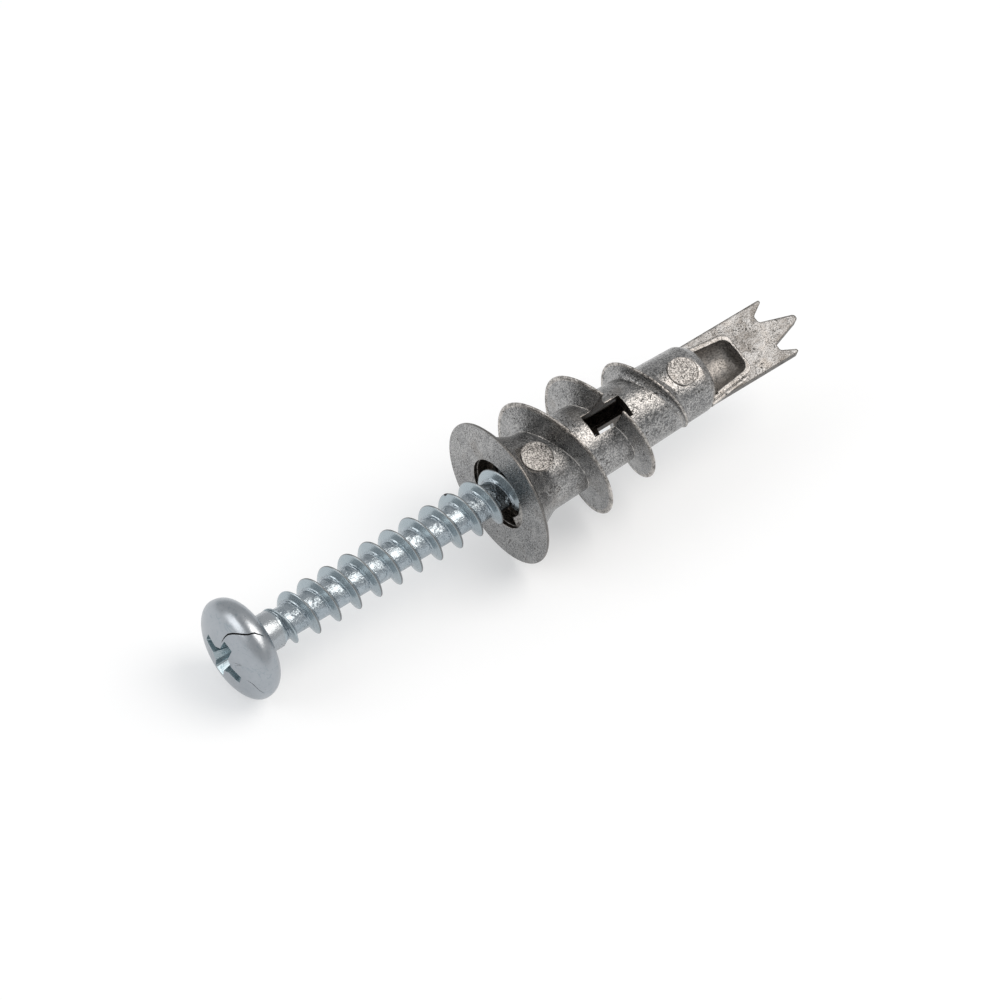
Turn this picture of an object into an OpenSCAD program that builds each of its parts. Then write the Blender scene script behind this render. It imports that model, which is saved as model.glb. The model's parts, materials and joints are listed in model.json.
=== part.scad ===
// Self-drilling plasterboard anchor, cast in zinc, with its pan head screw part way in.
// The anchor's own axes: along runs from the flange to the drilling teeth, the blade faces up,
// and an angle round the axis is 0 where the blade faces and grows with the right-hand threads.

/* [Anchor] */
// Length from the flange's front face to the tip of the middle tooth
anchor_length = 31.6; // [29:0.1:36]
// Outer diameter of the flange
flange_d = 13.0; // [12.4:0.1:15]
// Diameter of the mouth in the flange
mouth_d = 6.4; // [6:0.1:7]
// Where the collar behind the flange meets the shank
collar_end = 3.42; // [2.8:0.02:3.8]
// Diameter that the shank's taper has at the flange's front face
shank_front_d = 7.22; // [6.9:0.02:7.6]
// Diameter of the shank at its nose
shank_nose_d = 6.0; // [5.8:0.05:6.4]
// Where the round shank ends and the bare blade goes on
nose_end = 20.95; // [20:0.05:22]

/* [Bore] */
// Diameter between the lands that the screw cuts into
land_d = 4.7; // [4.66:0.02:4.9]
// Diameter between the flutes that the driver bit passes
flute_d = 5.7; // [5.2:0.05:5.8]
// Angle round the axis that one land takes up
land_angle = 66; // [50:1:72]
// Depth of the mouth before the lands begin
mouth_depth = 1.3; // [0.6:0.1:2]
// Depth of the one land that comes up to the mouth
long_land_depth = 0.35; // [0.2:0.05:0.6]

/* [Coarse thread] */
// Diameter over the thread's full turns
flight_d = 11.88; // [10:0.02:12.2]
// Advance of one turn
flight_pitch = 4.95; // [4.6:0.05:5.2]
// Where the crest crosses the blade side
flight_place = 6.04; // [5.7:0.01:6.2]
// How far each turn leans over between the two halves of the casting
flight_lean = 0.34; // [0:0.02:0.4]
// How far each turn swings to draw from the two dies
flight_swing = 0.26; // [0:0.02:0.3]
// Width of the crest
crest_w = 0.2; // [0.15:0.05:0.4]
// Facets round one turn
flight_segments = 48; // [36:6:54]

/* [Windows] */
// Width of each window
window_w = 2.1; // [1.8:0.1:2.4]
// Length of each window
window_l = 4.0; // [3.5:0.1:4.2]
// Where the window on the blade side begins
front_window = 8.6; // [8.2:0.1:9]
// Where the window on the other side begins
back_window = 11.7; // [11.3:0.1:12]

/* [Drilling blade] */
// Width of the blade
blade_w = 5.62; // [5.2:0.02:5.8]
// Thickness of the blade
blade_t = 0.8; // [0.7:0.05:1.2]
// Reach of the two outer teeth
outer_tooth = 29.86; // [29.4:0.1:30.2]
// Where the notches between the teeth end
notch_floor = 28.52; // [28:0.02:28.8]
// Radius of the notches
notch_r = 0.4; // [0.3:0.02:0.5]
// Radius of the middle tooth's tip
tooth_tip_r = 0.33; // [0.2:0.01:0.4]
// How far the middle tooth lies off the axis
tooth_offset = 0.09; // [0:0.01:0.2]
// How far the pocket lies off the axis
pocket_offset = 0.15; // [0:0.01:0.2]
// Half width of the pocket at the nose
pocket_start_r = 2.22; // [2.1:0.02:2.3]
// Half width of the pocket at its far wall
pocket_end_r = 1.62; // [1.4:0.02:1.8]
// Where the pocket's far wall stands
pocket_end = 25.27; // [25:0.01:25.8]

/* [Screw] */
// Thread diameter of the screw
screw_d = 4.5; // [4.2:0.05:4.5]
// Length under the head
screw_length = 35.2; // [30:0.1:40]
// Core diameter of its thread
core_d = 2.74; // [2.6:0.02:3]
// Diameter of the plain neck under the head
neck_d = 3.3; // [3.1:0.05:3.5]
// Advance of one turn of its thread
screw_pitch = 2.07; // [1.9:0.01:2.2]
// Outer diameter of the head
head_d = 9.0; // [8.4:0.1:9.4]
// Height of the domed side of the head
dome_h = 1.82; // [1.6:0.02:2.2]
// Radius of the rolled edge towards the neck
head_roll_r = 1.48; // [1:0.02:1.5]
// Depth of the cross recess
recess_depth = 2.1; // [1.6:0.1:2.3]
// Span across opposite wings of the cross recess
recess_span = 4.5; // [4:0.1:5]
// How far the head's underside stands in front of the flange
screw_out = 24.86; // [24:0.01:26]
// Facets round one turn of its thread
screw_segments = 30; // [20:2:36]

/* [Rest] */
// How far the pair is rolled over from the blade facing up
roll = 20; // [-30:1:30]

/* [Hidden] */
$fn = 64;

flange_r = flange_d / 2;
flight_r = flight_d / 2;
mouth_r = mouth_d / 2;
land_r = land_d / 2;
flute_r = flute_d / 2;
nose_r = shank_nose_d / 2;
blade_half = blade_w / 2;
screw_r = screw_d / 2;
core_r = core_d / 2;
head_r = head_d / 2;
zinc = [0.62, 0.61, 0.59];
plated_steel = [0.66, 0.70, 0.73];
eps = 0.01;

// The flange's rim, its sloped back and the hollow flare of the collar behind it
rim_edge = 0.1;
rim_back = 0.16;
flange_back = [0.42, 6.15];
collar_start = [0.85, 5.0];
collar_hollow = 0.14;

// Each rim that the pair lies on is a ring of narrow flats just proud of the round part
rim_flats = 28;
flange_round_r = flange_r - 0.005;
head_round_r = head_r - 0.005;
head_ring_half_w = 0.06;

// The shank tapers evenly down to its nose, which has a narrower rounded end
shank_taper = (shank_front_d - shank_nose_d) / 2 / nose_end;
nose_round = 0.55;
nose_edge_r = nose_r - 0.3;

// Place along the shank, radius and height of the ejector pads
ejector_pads_at = [[3.2, 1.32, 3.6], [18.65, 1.28, 3.08]];

// The flight starts on the hidden side, runs full for a turn and a half and then fades out
flight_start = -215;
flight_full = -150;
flight_fade = 263;
flight_end = 850;
fade_slope = 2.04;
fade_dive = 1.04;
flight_sink = 0.45;
head_flare = 0.44;
tip_flare = 0.85;
lean_at = 70;
swing_at = 2.5;

// The screw's thread fades in over two turns and tapers to its point
thread_start = 1.9;
thread_fade_turns = 1.6;
tip_l = 4.2;
thread_crest_w = 0.12;
thread_root_w = 0.8;
thread_at = 0.81;

// The pair lies on the rims of the flange and the head, which tip it up at the teeth
widest_head = screw_out + head_roll_r;
rest_tilt = atan((flange_r - head_r) / widest_head);
head_front = widest_head + dome_h;
rest_shift = (anchor_length - head_front) / 2 * cos(rest_tilt);

function shank_r(s) = shank_front_d / 2 - shank_taper * s;
function on_axis(s, r, angle) = [s, -r * sin(angle), r * cos(angle)];
function ramp(x) = max(0, min(1, x));

// Triangles between neighbouring rings of one sweep, closed by a fan at each end
function sweep_faces(rings, sides) = concat(
    [for (i = [0:rings - 2], j = [0:sides - 1])
        [i * sides + j, i * sides + (j + 1) % sides, (i + 1) * sides + j]],
    [for (i = [0:rings - 2], j = [0:sides - 1])
        [i * sides + (j + 1) % sides, (i + 1) * sides + (j + 1) % sides, (i + 1) * sides + j]],
    [for (j = [1:sides - 2]) [0, j + 1, j]],
    [for (j = [1:sides - 2]) [0, j, j + 1] + (rings - 1) * sides * [1, 1, 1]]
);

module sweep(rings) {
    sides = len(rings[0]);
    polyhedron([for (ring = rings, point = ring) point], sweep_faces(len(rings), sides));
}

// Lays the pair down as it comes to rest
module at_rest() {
    translate([-rest_shift, 0, flange_r * cos(rest_tilt)])
        rotate([0, -rest_tilt, 0])
            rotate([roll, 0, 0])
                children();
}

// Turns an outline of [along, radius] points about the axis
module turned(points) {
    rotate([0, 90, 0])
        rotate_extrude($fn = 64)
            polygon([for (p = points) [p[1], p[0]]]);
}

// Thin ring of flats round a rim, one of which meets the surface that the pair lies on
module rim_ring(r, start, end) {
    half_flat = 180 / rim_flats;
    translate([start, 0, 0])
        rotate([-roll, 0, 0])
            rotate([0, 90, 0])
                linear_extrude(height = end - start)
                    polygon([for (i = [0:rim_flats - 1]) r / cos(half_flat)
                        * [cos(half_flat * (2 * i + 1)), sin(half_flat * (2 * i + 1))]]);
}

// ---- Anchor ----

// Place and radius of the coarse thread's crest at an angle
function flight_s(a) = flight_place + flight_pitch * a / 360
    + flight_lean * sin(a - lean_at) + flight_swing * sin(2 * a - swing_at);
function flight_faded(a) = let (t = ramp((a - flight_fade) / (flight_end - flight_fade)))
    fade_slope * t + fade_dive * pow(t, 6);
function flight_grows(a) = ramp((a - flight_start) / (flight_full - flight_start));
function flight_crest(a) = let (
        base = shank_r(flight_s(a)),
        full = flight_r - flight_faded(a)
    ) base + (full - base) * sin(90 * flight_grows(a));

// One section of the flight: a thin crest on flanks that flare into the shank
function flight_ring(a) = let (
        s = flight_s(a),
        top = flight_crest(a),
        base = shank_r(s),
        tall = max(top - base, 0.02),
        flare = min(1, tall / 0.9),
        half = crest_w / 2,
        heights = [-flight_sink, -0.04, min(0.14, 0.10 * tall), min(0.50, 0.32 * tall), 0.66 * tall, tall],
        swell = [1, 1, 0.68, 0.4, 0.11, 0] * flare
    ) concat(
        [for (i = [0:5]) on_axis(s - half - head_flare * swell[i], base + heights[i], a)],
        [for (i = [5:-1:0]) on_axis(s + half + tip_flare * swell[i], base + heights[i], a)]
    );

module flight() {
    step = 360 / flight_segments;
    count = floor((flight_end - flight_start) / step);
    sweep([for (i = [0:count]) flight_ring(flight_start + i * step)]);
}

module shank() {
    collar_finish = [collar_end, shank_r(collar_end)];
    turned(concat([
        [0, 0],
        [0, flange_round_r - rim_edge],
        [rim_edge, flange_round_r],
        [rim_back, flange_round_r],
        flange_back
    ], [for (i = [0:6]) collar_start + (collar_finish - collar_start) * i / 6
        - [0, collar_hollow * sin(30 * i)]
    ], [
        [nose_end - nose_round, shank_r(nose_end - nose_round)],
        [nose_end, nose_edge_r],
        [nose_end, 0]
    ]));
}

// Points of an arc round a centre in the plan of the blade
function arc(centre, r, from, to, steps) = [for (i = [0:steps])
    centre + r * [cos(from + (to - from) * i / steps), sin(from + (to - from) * i / steps)]];

// Plan of the blade: two outer teeth, two round notches and the round-ended middle tooth
module blade_plan() {
    root_half = 1.18;
    outer_tip_r = 0.11;
    notch_centre = notch_floor + notch_r;
    outer_at = [outer_tooth - outer_tip_r, blade_half - outer_tip_r];
    lower_notch = [notch_centre, -root_half - notch_r + tooth_offset / 2];
    upper_notch = [notch_centre, root_half + notch_r + tooth_offset];
    polygon(concat(
        [[nose_end - 2, -blade_half]],
        arc([outer_at[0], -outer_at[1]], outer_tip_r, -90, 60, 5),
        arc(lower_notch, notch_r, 240, 95, 8),
        arc([anchor_length - tooth_tip_r, tooth_offset], tooth_tip_r, -78, 78, 8),
        arc(upper_notch, notch_r, 265, 120, 8),
        arc(outer_at, outer_tip_r, -60, 90, 5),
        [[nose_end - 2, blade_half]]
    ));
}

module blade() {
    translate([0, 0, -blade_t])
        mirror([0, 1, 0])
            linear_extrude(height = blade_t)
                blade_plan();
}

// Keeps what lies on the blade's own side of the casting
module lower_half() {
    intersection() {
        children();
        translate([nose_end - 3, -5, -5])
            cube([12, 10, 5]);
    }
}

// Round-backed shell that carries the pocket under the blade
module pocket_shell() {
    wall = 0.55;
    shell_end = pocket_end + 0.5;
    lower_half()
        turned([
            [nose_end - 1.5, 0],
            [nose_end - 1.5, nose_edge_r],
            [nose_end, nose_edge_r],
            [pocket_end - 0.6, pocket_end_r + wall],
            [pocket_end + 0.1, pocket_end_r + wall - 0.35],
            [shell_end, pocket_end_r - 0.5],
            [shell_end, 0]
        ]);
}

// Half-round hollow that the bore runs out into
module pocket() {
    corner = 0.55;
    translate([0, -pocket_offset, 0])
        turned([
            [nose_end - 1, 0],
            [nose_end - 1, pocket_start_r],
            [pocket_end - corner, pocket_end_r],
            [pocket_end - 0.12, pocket_end_r - 0.35],
            [pocket_end, pocket_end_r - corner],
            [pocket_end, 0]
        ]);
}

// Round pads left by the ejector pins, flat across the curve of the shank
module ejector_pads() {
    pad_h = 0.9;
    for (pad = ejector_pads_at)
        translate([pad[0], 0, pad[2] - pad_h])
            cylinder(h = pad_h, r = pad[1]);
}

// Flared room over each pad, which the pins leave where the collar would stand over it
module ejector_draft() {
    draft_h = 1.2;
    flare = 1.1;
    for (pad = ejector_pads_at)
        translate([pad[0], 0, pad[2]])
            cylinder(h = draft_h, r1 = pad[1] + 0.02, r2 = pad[1] + flare);
}

// Bore between four lands, with flutes between them for the driver bit
module bore() {
    turned([[-1, 0], [-1, land_r], [nose_end + 0.5, land_r], [nose_end + 0.5, 0]]);
    turned([[-1, 0], [-1, mouth_r], [long_land_depth, mouth_r], [long_land_depth, 0]]);
    difference() {
        turned([
            [0.1, 0],
            [0.1, mouth_r - eps],
            [mouth_depth, mouth_r - 0.2],
            [mouth_depth, 0]
        ]);
        long_land();
    }
    flutes();
}

// Wedge round the axis, from one angle to another
module wedge(from, to, start, end, r) {
    rotate([0, 90, 0])
        linear_extrude(height = end - start)
            polygon([
                [0, 0],
                [-r * cos(from), -r * sin(from)],
                [-r * cos((from + to) / 2) * 1.3, -r * sin((from + to) / 2) * 1.3],
                [-r * cos(to), -r * sin(to)]
            ]);
}

module long_land() {
    wedge(90 - land_angle / 2, 90 + land_angle / 2, 0, 2, 4);
}

module flutes() {
    flute_end = nose_end - 1.6;
    for (quarter = [45:90:315])
        intersection() {
            turned([[0.5, 0], [0.5, flute_r], [flute_end, flute_r - 0.35], [flute_end, 0]]);
            wedge(quarter - (90 - land_angle) / 2, quarter + (90 - land_angle) / 2, 0, 30, 5);
        }
}

module windows() {
    translate([front_window, -window_w / 2, 0])
        cube([window_l, window_w, flight_r + 1]);
    translate([back_window, -window_w / 2, -flight_r - 1])
        cube([window_l, window_w, flight_r + 1]);
}

module anchor_body() {
    color(zinc)
        at_rest()
            difference() {
                union() {
                    shank();
                    rim_ring(flange_r, rim_edge, rim_back);
                    flight();
                    blade();
                    pocket_shell();
                    ejector_pads();
                }
                ejector_draft();
                bore();
                pocket();
                windows();
            }
}

// ---- Screw ----

// Height of the dome's edge at a share of the head's radius
function dome(share) = dome_h * pow(max(0, 1 - pow(share, 2.1)), 1 / 2.1);

module screw_core() {
    tip = screw_length - screw_out;
    neck_end = thread_start - screw_out;
    turned(concat(
        [for (i = [0:12]) [-widest_head - dome(sin(i * 7.5)), head_round_r * sin(i * 7.5)]],
        [for (i = [1:8]) [-widest_head + head_roll_r * sin(i * 11.25),
            head_round_r - head_roll_r * (1 - cos(i * 11.25))]],
        [[-screw_out, neck_d / 2 + 0.15], [-screw_out + 0.15, neck_d / 2]],
        [[neck_end, neck_d / 2], [neck_end + 0.5, core_r]],
        [[tip - tip_l + 0.4, core_r], [tip, 0.06], [tip, 0]]
    ));
}

// Crest radius of the screw's thread at a distance below the head
function thread_r(d) = let (
        grown = ramp((d - thread_start) / (thread_fade_turns * screw_pitch)),
        left = screw_length - d
    ) min(neck_d / 2 + (screw_r - neck_d / 2) * sin(90 * grown), 0.12 + left * screw_r / tip_l);
function thread_root(d) = min(core_r, 0.05 + (screw_length - d) * core_r / (tip_l - 0.4));

function thread_ring(d) = let (
        a = 360 * d / screw_pitch + thread_at * 360,
        s = d - screw_out,
        top = thread_r(d),
        root = thread_root(d),
        share = min(1, (top - root) / (screw_r - core_r)),
        foot = (thread_root_w * share + thread_crest_w) / 2
    ) [
        on_axis(s - foot, root - min(0.3, 0.6 * root), a),
        on_axis(s - foot, root - 0.02, a),
        on_axis(s - thread_crest_w / 2, top, a),
        on_axis(s + thread_crest_w / 2, top, a),
        on_axis(s + foot, root - 0.02, a),
        on_axis(s + foot, root - min(0.3, 0.6 * root), a)
    ];

module screw_thread() {
    step = screw_pitch / screw_segments;
    count = floor((screw_length - thread_start - 0.45) / step);
    sweep([for (i = [0:count]) thread_ring(thread_start + i * step)]);
}

// Cross recess with tapered wings and a narrower square between them
module recess() {
    wing = 1.05;
    middle = 2.0;
    bottom_share = 0.42;
    translate([-head_front - eps, 0, 0])
        rotate([0, 90, 0])
            linear_extrude(height = recess_depth, scale = bottom_share) {
                square([recess_span, wing], center = true);
                square([wing, recess_span], center = true);
                rotate(45)
                    square([middle, middle], center = true);
            }
}

module screw() {
    color(plated_steel)
        at_rest()
            difference() {
                union() {
                    screw_core();
                    rim_ring(head_r, -widest_head - head_ring_half_w,
                        -widest_head + head_ring_half_w);
                    screw_thread();
                }
                recess();
            }
}

anchor_body();
screw();
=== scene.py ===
"""Looks of a self-drilling plasterboard anchor and its pan head screw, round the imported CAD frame.

Pieces are shaped in millimetres in the pair's own axes: x along the shared axis from the flange's
face to the drilling teeth, z where the blade faces, and an angle round the axis, in degrees, that is
0 there and grows with the right-hand threads. They are laid down in the row frame, in metres, at the
end.
"""

import json
import logging
import math
from dataclasses import dataclass, field
from enum import Enum, IntEnum
from typing import Sequence

import bpy
import numpy as np
from mathutils import Matrix, Vector
from numpy.typing import ArrayLike


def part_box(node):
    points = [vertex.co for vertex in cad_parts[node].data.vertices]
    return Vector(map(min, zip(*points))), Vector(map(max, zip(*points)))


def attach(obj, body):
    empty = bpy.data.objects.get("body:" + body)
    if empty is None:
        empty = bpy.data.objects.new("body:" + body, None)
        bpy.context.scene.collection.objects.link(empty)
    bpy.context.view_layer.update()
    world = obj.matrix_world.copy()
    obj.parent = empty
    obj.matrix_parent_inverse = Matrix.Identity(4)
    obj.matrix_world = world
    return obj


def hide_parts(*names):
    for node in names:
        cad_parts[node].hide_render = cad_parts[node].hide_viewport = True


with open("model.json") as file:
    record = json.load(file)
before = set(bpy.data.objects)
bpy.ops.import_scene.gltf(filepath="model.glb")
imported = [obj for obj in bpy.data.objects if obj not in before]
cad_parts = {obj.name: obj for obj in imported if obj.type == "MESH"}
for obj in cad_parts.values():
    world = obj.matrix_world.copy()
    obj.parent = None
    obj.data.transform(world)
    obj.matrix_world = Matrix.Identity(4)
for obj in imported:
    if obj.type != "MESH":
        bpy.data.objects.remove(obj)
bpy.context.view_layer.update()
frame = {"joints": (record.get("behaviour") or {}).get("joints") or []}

log = logging.getLogger("plasterboard_anchor")
MM = 0.001
SMOOTH_BELOW = math.radians(32)
ROUND_SIDES = 192
BORE_SIDES = 96

Outline = Sequence[tuple[float, ...]]


# ---------------------------------------------------------------- rest pose


@dataclass(frozen=True)
class RestPose:
    """How the pair lies: on the rims of the flange and of the screw's head."""

    flange_d: float
    anchor_length: float
    head_front: float
    tilt: float
    roll: float = math.radians(20)

    @classmethod
    def from_frame(cls, anchor_length: float, head_front: float) -> "RestPose":
        """Reads the tilt from the screw's joint and the flange from the casting's box.

        Args:
            anchor_length: from the flange's face to the middle tooth, in millimetres.
            head_front: from the flange's face to the top of the screw's dome.

        Returns:
            The pose that lays the pair's own axes down in the row frame.
        """
        low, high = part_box("anchor_body")
        along = Vector(frame["joints"][0]["axis"])
        return cls((high.y - low.y) / MM, anchor_length, head_front, math.asin(along.z))

    def matrix(self) -> Matrix:
        """Lays the pair down.

        Returns:
            The pair's own axes, in millimetres, in the row frame, in metres.
        """
        shift = (self.anchor_length - self.head_front) / 2 * math.cos(self.tilt)
        lift = self.flange_d / 2 * math.cos(self.tilt)
        place = Matrix.Translation(Vector((-shift, 0, lift)) * MM)
        turn = Matrix.Rotation(-self.tilt, 4, "Y") @ Matrix.Rotation(self.roll, 4, "X")
        return place @ turn @ Matrix.Scale(MM, 4)


# ---------------------------------------------------------------- shaping


def on_axis(along: ArrayLike, radius: ArrayLike, angle: ArrayLike) -> np.ndarray:
    """Places points round the axis.

    Args:
        along: distance along the axis, a number or an array.
        radius: distance from the axis.
        angle: degrees round the axis.

    Returns:
        An array whose last dimension is x, y, z.
    """
    turn = np.radians(angle)
    return np.stack(np.broadcast_arrays(along, -radius * np.sin(turn), radius * np.cos(turn)), -1)


def rounded(corners: Outline, closed: bool = False, steps: int = 8) -> list[tuple[float, ...]]:
    """Rounds the corners of an outline.

    Args:
        corners: (x, y) or (x, y, radius) for each corner.
        closed: whether the last corner joins the first.
        steps: points along each arc.

    Returns:
        The outline as (x, y) points.
    """
    points = []
    count = len(corners)
    for i, corner in enumerate(corners):
        here = np.array(corner[:2], float)
        radius = corner[2] if len(corner) > 2 else 0
        if radius == 0 or (not closed and i in (0, count - 1)):
            points.append(tuple(here))
            continue
        back = np.array(corners[i - 1][:2], float) - here
        ahead = np.array(corners[(i + 1) % count][:2], float) - here
        back, ahead = back / np.linalg.norm(back), ahead / np.linalg.norm(ahead)
        half = math.acos(np.clip(back @ ahead, -1, 1)) / 2
        centre = here + (back + ahead) / np.linalg.norm(back + ahead) * radius / math.sin(half)
        first = here + back * radius / math.tan(half) - centre
        last = here + ahead * radius / math.tan(half) - centre
        swing = math.pi - 2 * half
        for k in range(steps + 1):
            share = k / steps
            arm = math.sin((1 - share) * swing) * first + math.sin(share * swing) * last
            points.append(tuple(centre + arm / math.sin(swing)))
    return points


def stacked(count: int, sides: int) -> tuple[np.ndarray, np.ndarray]:
    """Numbers the points of a stack of rings and joins each ring to the next.

    Args:
        count: rings in the stack.
        sides: points of each ring.

    Returns:
        The number of each point, ring by ring, and the faces between the rings.
    """
    number = np.arange(count * sides).reshape(count, sides)
    after = np.roll(number, -1, 1)
    quads = np.stack([number[:-1], after[:-1], after[1:], number[1:]], -1).reshape(-1, 4)
    return number, quads


class Skin(IntEnum):
    """Material slots of a piece, in order."""

    OUTER = 0
    ROUGH = 1
    INNER = 2
    EDGE = 3
    POCKET = 4
    PAD = 5
    SIDE = 6
    LIP = 7


class Joining(Enum):
    """Ways of making one solid of two."""

    ADD = "UNION"
    CUT = "DIFFERENCE"
    SHARE = "INTERSECT"


class Solid:
    """A closed mesh in millimetres that booleans can be done with."""

    def __init__(self, points: np.ndarray, faces: list[list[int]],
                 skin: Skin | np.ndarray = Skin.OUTER) -> None:
        """Makes the mesh and turns its faces outward.

        Args:
            points: vertices as an array of x, y, z.
            faces: vertex numbers of each face, in one turning sense all over.
            skin: material slot of all of its faces, or an array of one for each.
        """
        mesh = bpy.data.meshes.new("solid")
        mesh.from_pydata(np.asarray(points, float).reshape(-1, 3).tolist(), [], faces)
        for _ in Skin:
            mesh.materials.append(None)
        self.mesh = mesh
        self.dressed(skin)
        if self._volume() < 0:
            mesh.flip_normals()

    def dressed(self, skin: Skin | np.ndarray) -> "Solid":
        """Gives the faces their skin.

        Args:
            skin: material slot of all of them, or an array of one for each.

        Returns:
            This solid.
        """
        slots = np.broadcast_to(np.asarray(skin, int), len(self.mesh.polygons))
        self.mesh.polygons.foreach_set("material_index", np.ascontiguousarray(slots))
        return self

    def _volume(self) -> float:
        """Measures the solid.

        Returns:
            Its volume in cubic millimetres, below 0 where its faces look inward.
        """
        mesh = self.mesh
        mesh.calc_loop_triangles()
        corners = np.zeros(len(mesh.vertices) * 3)
        mesh.vertices.foreach_get("co", corners)
        thirds = np.zeros(len(mesh.loop_triangles) * 3, int)
        mesh.loop_triangles.foreach_get("vertices", thirds)
        a, b, c = np.moveaxis(corners.reshape(-1, 3)[thirds.reshape(-1, 3)], 1, 0)
        return float(np.einsum("ij,ij->i", a, np.cross(b, c)).sum() / 6)

    @classmethod
    def sweep(cls, rings: np.ndarray, skin: Skin | np.ndarray = Skin.OUTER) -> "Solid":
        """Joins rings of points, with a flat end at each side.

        Args:
            rings: an array of rings by points by x, y, z.
            skin: material slot of its faces, or one for each side of a ring.

        Returns:
            The closed solid.
        """
        count = len(rings)
        number, quads = stacked(count, rings.shape[1])
        ends = [number[0, ::-1].tolist(), number[-1].tolist()]
        if not isinstance(skin, Skin):
            skin = np.append(np.tile(skin, count - 1), [Skin.OUTER, Skin.OUTER])
        return cls(rings, quads.tolist() + ends, skin)

    @classmethod
    def lathe(cls, outline: Outline, sides: int = ROUND_SIDES, skin: Skin = Skin.OUTER) -> "Solid":
        """Turns an outline about the axis.

        Args:
            outline: (along, radius) points that start and end on the axis.
            sides: points round the axis.
            skin: material slot of its faces.

        Returns:
            The closed solid.
        """
        along, radius = np.array(outline[1:-1], float).T
        angles = np.arange(sides) * 360 / sides
        rings = on_axis(along[:, None], radius[:, None], angles[None, :])
        tips = np.array([[outline[0][0], 0, 0], [outline[-1][0], 0, 0]])
        number, quads = stacked(len(along), sides)
        start, end = number.size, number.size + 1
        caps = [[start, after, here] for here, after in zip(number[0], np.roll(number[0], -1))]
        caps += [[end, here, after] for here, after in zip(number[-1], np.roll(number[-1], -1))]
        return cls(np.vstack([rings.reshape(-1, 3), tips]), quads.tolist() + caps, skin)

    @classmethod
    def plug(cls, start: float, start_r: float, end: float, end_r: float, skin: Skin) -> "Solid":
        """Makes a round plug on the axis, to cut the bore with.

        Args:
            start: where it starts along the axis.
            start_r: its radius there.
            end: where it ends.
            end_r: its radius there.
            skin: material slot of its faces.

        Returns:
            The closed solid.
        """
        return cls.lathe([(start, 0), (start, start_r), (end, end_r), (end, 0)], BORE_SIDES, skin)

    @classmethod
    def prism(cls, outline: Outline, start: float, end: float, grow: float = 1,
              skin: Skin = Skin.OUTER) -> "Solid":
        """Extrudes an outline.

        Args:
            outline: points across the direction of extrusion.
            start: height of the first end.
            end: height of the other end.
            grow: size of the other end as a share of the first.
            skin: material slot of its faces.

        Returns:
            The solid, standing on the plane of its outline with its height along z.
        """
        flat = np.array(outline, float)
        low = np.column_stack([flat, np.full(len(flat), start)])
        high = np.column_stack([flat * grow, np.full(len(flat), end)])
        return cls.sweep(np.stack([low, high]), skin)

    @classmethod
    def block(cls, low: Sequence[float], high: Sequence[float],
              skin: Skin = Skin.OUTER) -> "Solid":
        """Makes a box.

        Args:
            low: its lowest corner.
            high: its highest corner.
            skin: material slot of its faces.

        Returns:
            The closed solid.
        """
        flat = [(low[0], low[1]), (high[0], low[1]), (high[0], high[1]), (low[0], high[1])]
        return cls.prism(flat, low[2], high[2], skin=skin)

    def placed(self, matrix: Matrix) -> "Solid":
        """Moves the solid by a matrix and returns it."""
        self.mesh.transform(matrix)
        return self

    def along_axis(self) -> "Solid":
        """Turns an extrusion along z to lie along the axis, with its own x and y as z and -y."""
        return self.placed(Matrix(((0, 0, 1, 0), (0, -1, 0, 0), (1, 0, 0, 0), (0, 0, 0, 1))))

    def _joined(self, other: "Solid", joining: Joining) -> "Solid":
        """Makes one solid of two.

        Args:
            other: the second solid.
            joining: what becomes of the two.

        Returns:
            This solid, with the result as its mesh.

        Raises:
            RuntimeError: if nothing is left of the two.
        """
        first = bpy.data.objects.new("first", self.mesh)
        second = bpy.data.objects.new("second", other.mesh)
        for each in (first, second):
            bpy.context.scene.collection.objects.link(each)
        change = first.modifiers.new("boolean", "BOOLEAN")
        change.operation, change.object, change.solver = joining.value, second, "MANIFOLD"
        graph = bpy.context.evaluated_depsgraph_get()
        result = bpy.data.meshes.new_from_object(first.evaluated_get(graph))
        if not result.polygons:
            raise RuntimeError(f"{joining.name} left nothing: one of its solids isn't closed")
        for each in (first, second):
            bpy.data.objects.remove(each)
        self.mesh = result
        return self

    def __add__(self, other: "Solid") -> "Solid":
        """Returns both solids as one."""
        return self._joined(other, Joining.ADD)

    def __sub__(self, other: "Solid") -> "Solid":
        """Returns the solid with the other cut out of it."""
        return self._joined(other, Joining.CUT)

    def __and__(self, other: "Solid") -> "Solid":
        """Returns what lies in both solids."""
        return self._joined(other, Joining.SHARE)

    def piece(self, name: str, finishes: "dict[Skin, Finish]", pose: Matrix) -> bpy.types.Object:
        """Turns the solid into a piece of the scene.

        Args:
            name: name of the piece.
            finishes: one for each skin that it has, in the order of the skins.
            pose: from the pair's own axes to the row frame.

        Returns:
            The object, smooth except at its edges.
        """
        mesh = self.mesh
        mesh.name = name
        mesh.transform(pose)
        for skin, finish in finishes.items():
            mesh.materials[skin] = finish.material(pose)
        while len(mesh.materials) > len(finishes):
            mesh.materials.pop()
        mesh.polygons.foreach_set("use_smooth", np.ones(len(mesh.polygons), bool))
        mesh.set_sharp_from_angle(angle=SMOOTH_BELOW)
        made = bpy.data.objects.new(name, mesh)
        bpy.context.scene.collection.objects.link(made)
        return made


# ---------------------------------------------------------------- the casting


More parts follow.
